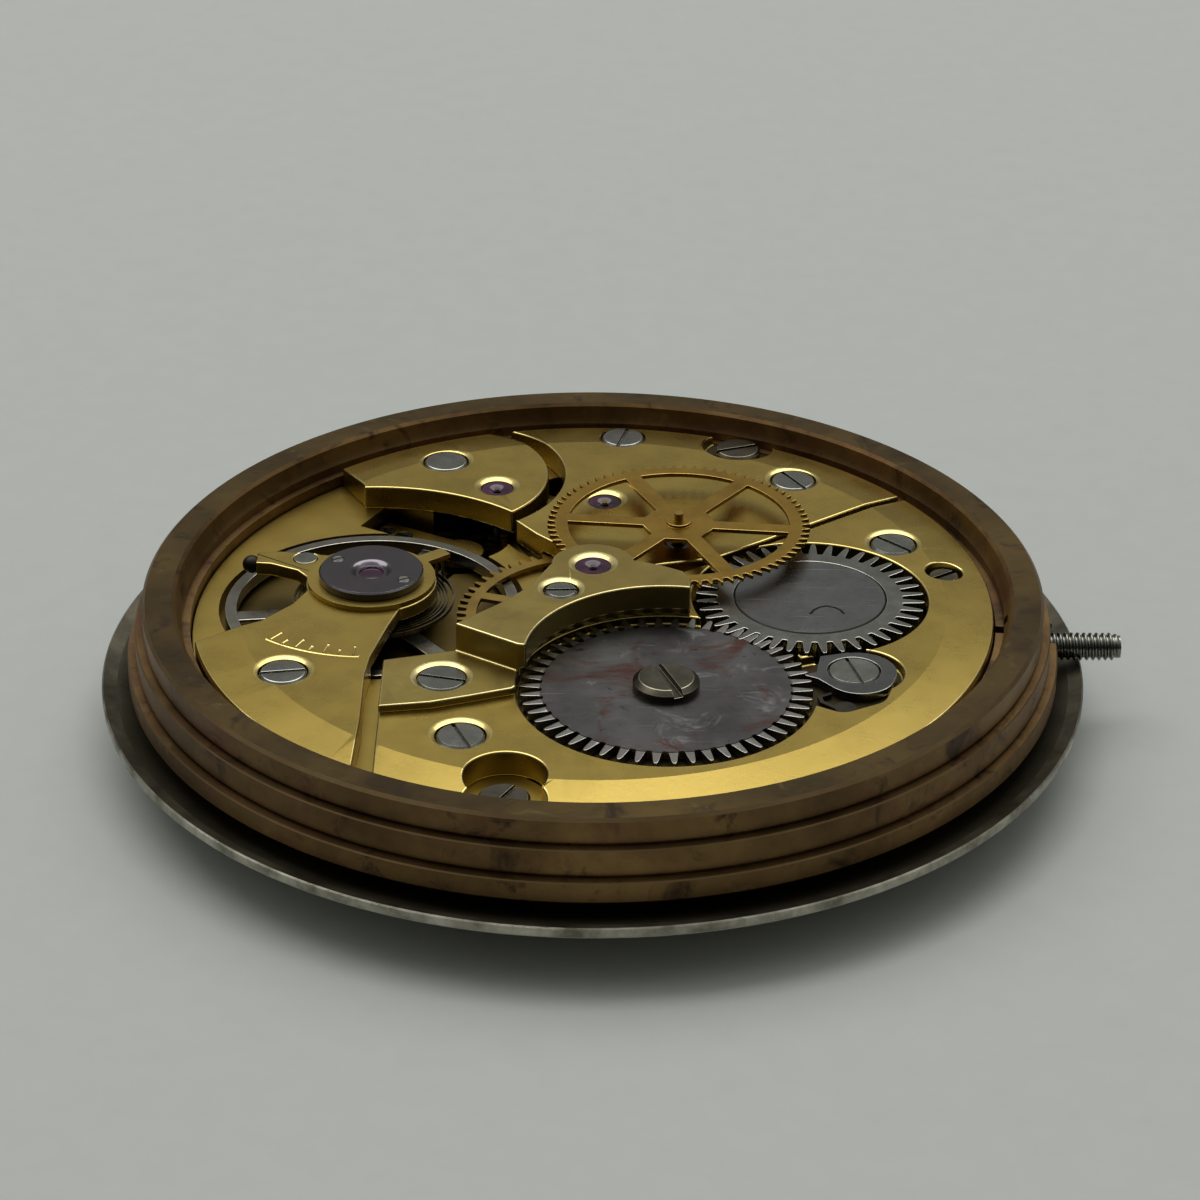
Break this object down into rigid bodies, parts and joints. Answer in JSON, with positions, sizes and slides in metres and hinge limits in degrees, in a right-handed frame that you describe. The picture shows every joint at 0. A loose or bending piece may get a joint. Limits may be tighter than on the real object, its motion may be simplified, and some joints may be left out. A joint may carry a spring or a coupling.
{
  "type": "watch movement",
  "caption": "Hand-wound mechanical watch movement with sweep seconds, lying dial down in its stepped bronze casing ring with the winding stem out",
  "frame": {"origin": "on the hand axis, at the front of the dial's flat middle", "axes": "+Z from the dial to the bridge side, +X out along the winding stem"},
  "size_m": [0.0327, 0.0314, 0.0056],
  "materials": {
    "gilt_brass": "satin gilt",
    "wheel_brass": "brushed",
    "bronze": "dull patina",
    "dial_lacquer": "silvered",
    "steel": "polished",
    "dark_steel": "worn",
    "balance_alloy": "polished",
    "spring_alloy": "polished",
    "ruby": "polished"
  },
  "bodies": {
    "frame": {"casing_ring": "bronze", "dial": "dial_lacquer", "main_plate": "gilt_brass", "barrel_bridge": "gilt_brass", "train_bridge": "gilt_brass", "escape_bridge": "gilt_brass", "centre_bridge": "gilt_brass", "balance_cock": "gilt_brass", "pallet_bridge": "gilt_brass", "barrel_screws": "steel", "train_screws": "steel", "centre_screws": "steel", "cock_screws": "steel", "pallet_screws": "steel", "case_screws": "steel", "dial_screws": "steel", "crown_core": "dark_steel", "click_screw": "dark_steel", "click_spring": "steel", "sweep_spring": "wheel_brass", "hairspring": "spring_alloy", "hairspring_stud": "steel", "stud_screw": "dark_steel", "cap_plate": "dark_steel", "cap_screws": "steel", "cap_jewel": "ruby", "upper_jewels": "ruby", "lower_jewels": "ruby", "setting_cover": "steel"},
    "third": {"third_wheel": "wheel_brass", "drive_wheel": "gilt_brass"},
    "centre": {"centre_wheel": "wheel_brass", "cannon_pinion": "steel"},
    "barrel": {"barrel_drum": "wheel_brass", "barrel_cover": "wheel_brass", "mainspring": "dark_steel"},
    "fourth": {"fourth_wheel": "wheel_brass"},
    "escape": {"escape_wheel": "steel"},
    "sweep": {"sweep_pinion": "steel"},
    "minute": {"minute_wheel": "wheel_brass"},
    "hour": {"hour_wheel": "wheel_brass"},
    "setting": {"setting_wheel": "steel"},
    "balance": {"balance_wheel": "balance_alloy", "balance_staff": "steel", "impulse_jewel": "ruby", "hairspring_collet": "wheel_brass"},
    "pallet": {"pallet_fork": "steel", "pallet_stones": "ruby"},
    "ratchet": {"ratchet_wheel": "steel", "ratchet_screw": "dark_steel", "barrel_arbor": "dark_steel"},
    "crown": {"crown_wheel": "steel"},
    "winder": {"winding_pinion": "steel"},
    "stem": {"winding_stem": "dark_steel"},
    "clutch": {"clutch": "steel"},
    "lever": {"setting_lever": "steel", "setting_screw": "dark_steel"},
    "yoke": {"yoke": "steel"},
    "click": {"click": "steel"},
    "regulator": {"regulator_index": "gilt_brass"}
  },
  "joints": [
    {"name": "third_wheel_turn", "type": "hinge", "parent": "frame", "child": "third", "pos_m": [0.0028, 0.00386, 0.002], "axis": [0, 0, 1], "continuous": true},
    {"name": "centre_wheel_turn", "type": "hinge", "parent": "frame", "child": "centre", "pos_m": [0, 0, 0.002], "axis": [0, 0, 1], "continuous": true},
    {"name": "barrel_turn", "type": "hinge", "parent": "frame", "child": "barrel", "pos_m": [0.00226, -0.00586, 0.002], "axis": [0, 0, 1], "continuous": true},
    {"name": "fourth_wheel_turn", "type": "hinge", "parent": "frame", "child": "fourth", "pos_m": [0.00037, 0.00693, 0.002], "axis": [0, 0, 1], "continuous": true},
    {"name": "escape_wheel_turn", "type": "hinge", "parent": "frame", "child": "escape", "pos_m": [-0.00329, 0.00789, 0.002], "axis": [0, 0, 1], "continuous": true},
    {"name": "sweep_seconds_turn", "type": "hinge", "parent": "frame", "child": "sweep", "pos_m": [0, 0, 0.002], "axis": [0, 0, 1], "continuous": true},
    {"name": "minute_wheel_turn", "type": "hinge", "parent": "frame", "child": "minute", "pos_m": [0.00273, 0.00099, 0.002], "axis": [0, 0, 1], "continuous": true},
    {"name": "hour_wheel_turn", "type": "hinge", "parent": "frame", "child": "hour", "pos_m": [0, 0, 0.002], "axis": [0, 0, 1], "continuous": true},
    {"name": "setting_wheel_turn", "type": "hinge", "parent": "frame", "child": "setting", "pos_m": [0.00564, 0.00016, 0.002], "axis": [0, 0, 1], "continuous": true},
    {"name": "balance_swing", "type": "hinge", "parent": "frame", "child": "balance", "pos_m": [-0.00715, 0.00095, 0.002], "axis": [0, 0, 1], "range_deg": [-270, 270], "stiffness_Nm_per_rad": 0.00000021, "deforming": ["hairspring"]},
    {"name": "pallet_rock", "type": "hinge", "parent": "frame", "child": "pallet", "pos_m": [-0.00451, 0.0057, 0.002], "axis": [0, 0, 1], "range_deg": [-5, 5]},
    {"name": "ratchet_wheel_turn", "type": "hinge", "parent": "frame", "child": "ratchet", "pos_m": [0.00226, -0.00586, 0.002], "axis": [0, 0, 1], "range_deg": [-2304, 0], "deforming": ["mainspring"]},
    {"name": "crown_wheel_turn", "type": "hinge", "parent": "frame", "child": "crown", "pos_m": [0.00695, 0, 0.002], "axis": [0, 0, 1], "range_deg": [0, 2880]},
    {"name": "stem_turn", "type": "hinge", "parent": "frame", "child": "winder", "pos_m": [0.0102, 0, 0.0017], "axis": [1, 0, 0], "range_deg": [-7680.1, 0]},
    {"name": "stem_pull", "type": "slide", "parent": "winder", "child": "stem", "axis": [1, 0, 0], "range_m": [0, 0.0006]},
    {"name": "clutch_shift", "type": "slide", "parent": "winder", "child": "clutch", "axis": [1, 0, 0], "range_m": [-0.0006, 0]},
    {"name": "setting_lever_turn", "type": "hinge", "parent": "frame", "child": "lever", "pos_m": [0.0114, 0.0019, 0.002], "axis": [0, 0, 1], "range_deg": [0, 17.91]},
    {"name": "yoke_turn", "type": "hinge", "parent": "frame", "child": "yoke", "pos_m": [0.0089, -0.0031, 0.002], "axis": [0, 0, 1], "range_deg": [0, 11.27]},
    {"name": "click_lift", "type": "hinge", "parent": "frame", "child": "click", "pos_m": [0.00808, -0.00472, 0.002], "axis": [0, 0, 1], "range_deg": [0, 8], "stiffness_Nm_per_rad": 0.000001},
    {"name": "regulator_turn", "type": "hinge", "parent": "frame", "child": "regulator", "pos_m": [-0.00715, 0.00095, 0.002], "axis": [0, 0, 1], "range_deg": [-20, 20]}
  ],
  "couplings": [
    {"joint": "centre_wheel_turn", "follows": "third_wheel_turn", "ratio": -0.125},
    {"joint": "barrel_turn", "follows": "third_wheel_turn", "ratio": 0.017361},
    {"joint": "fourth_wheel_turn", "follows": "third_wheel_turn", "ratio": -7.5},
    {"joint": "escape_wheel_turn", "follows": "third_wheel_turn", "ratio": 75},
    {"joint": "sweep_seconds_turn", "follows": "third_wheel_turn", "ratio": -7.5},
    {"joint": "minute_wheel_turn", "follows": "third_wheel_turn", "ratio": 0.041667},
    {"joint": "hour_wheel_turn", "follows": "third_wheel_turn", "ratio": -0.010417},
    {"joint": "setting_wheel_turn", "follows": "third_wheel_turn", "ratio": -0.1},
    {"joint": "crown_wheel_turn", "follows": "ratchet_wheel_turn", "ratio": -1.25},
    {"joint": "stem_turn", "follows": "ratchet_wheel_turn", "ratio": 3.3333},
    {"joint": "clutch_shift", "follows": "stem_pull", "ratio": -1},
    {"joint": "setting_lever_turn", "follows": "stem_pull", "rad_per_m": 520.83},
    {"joint": "yoke_turn", "follows": "stem_pull", "rad_per_m": 327.87}
  ]
}
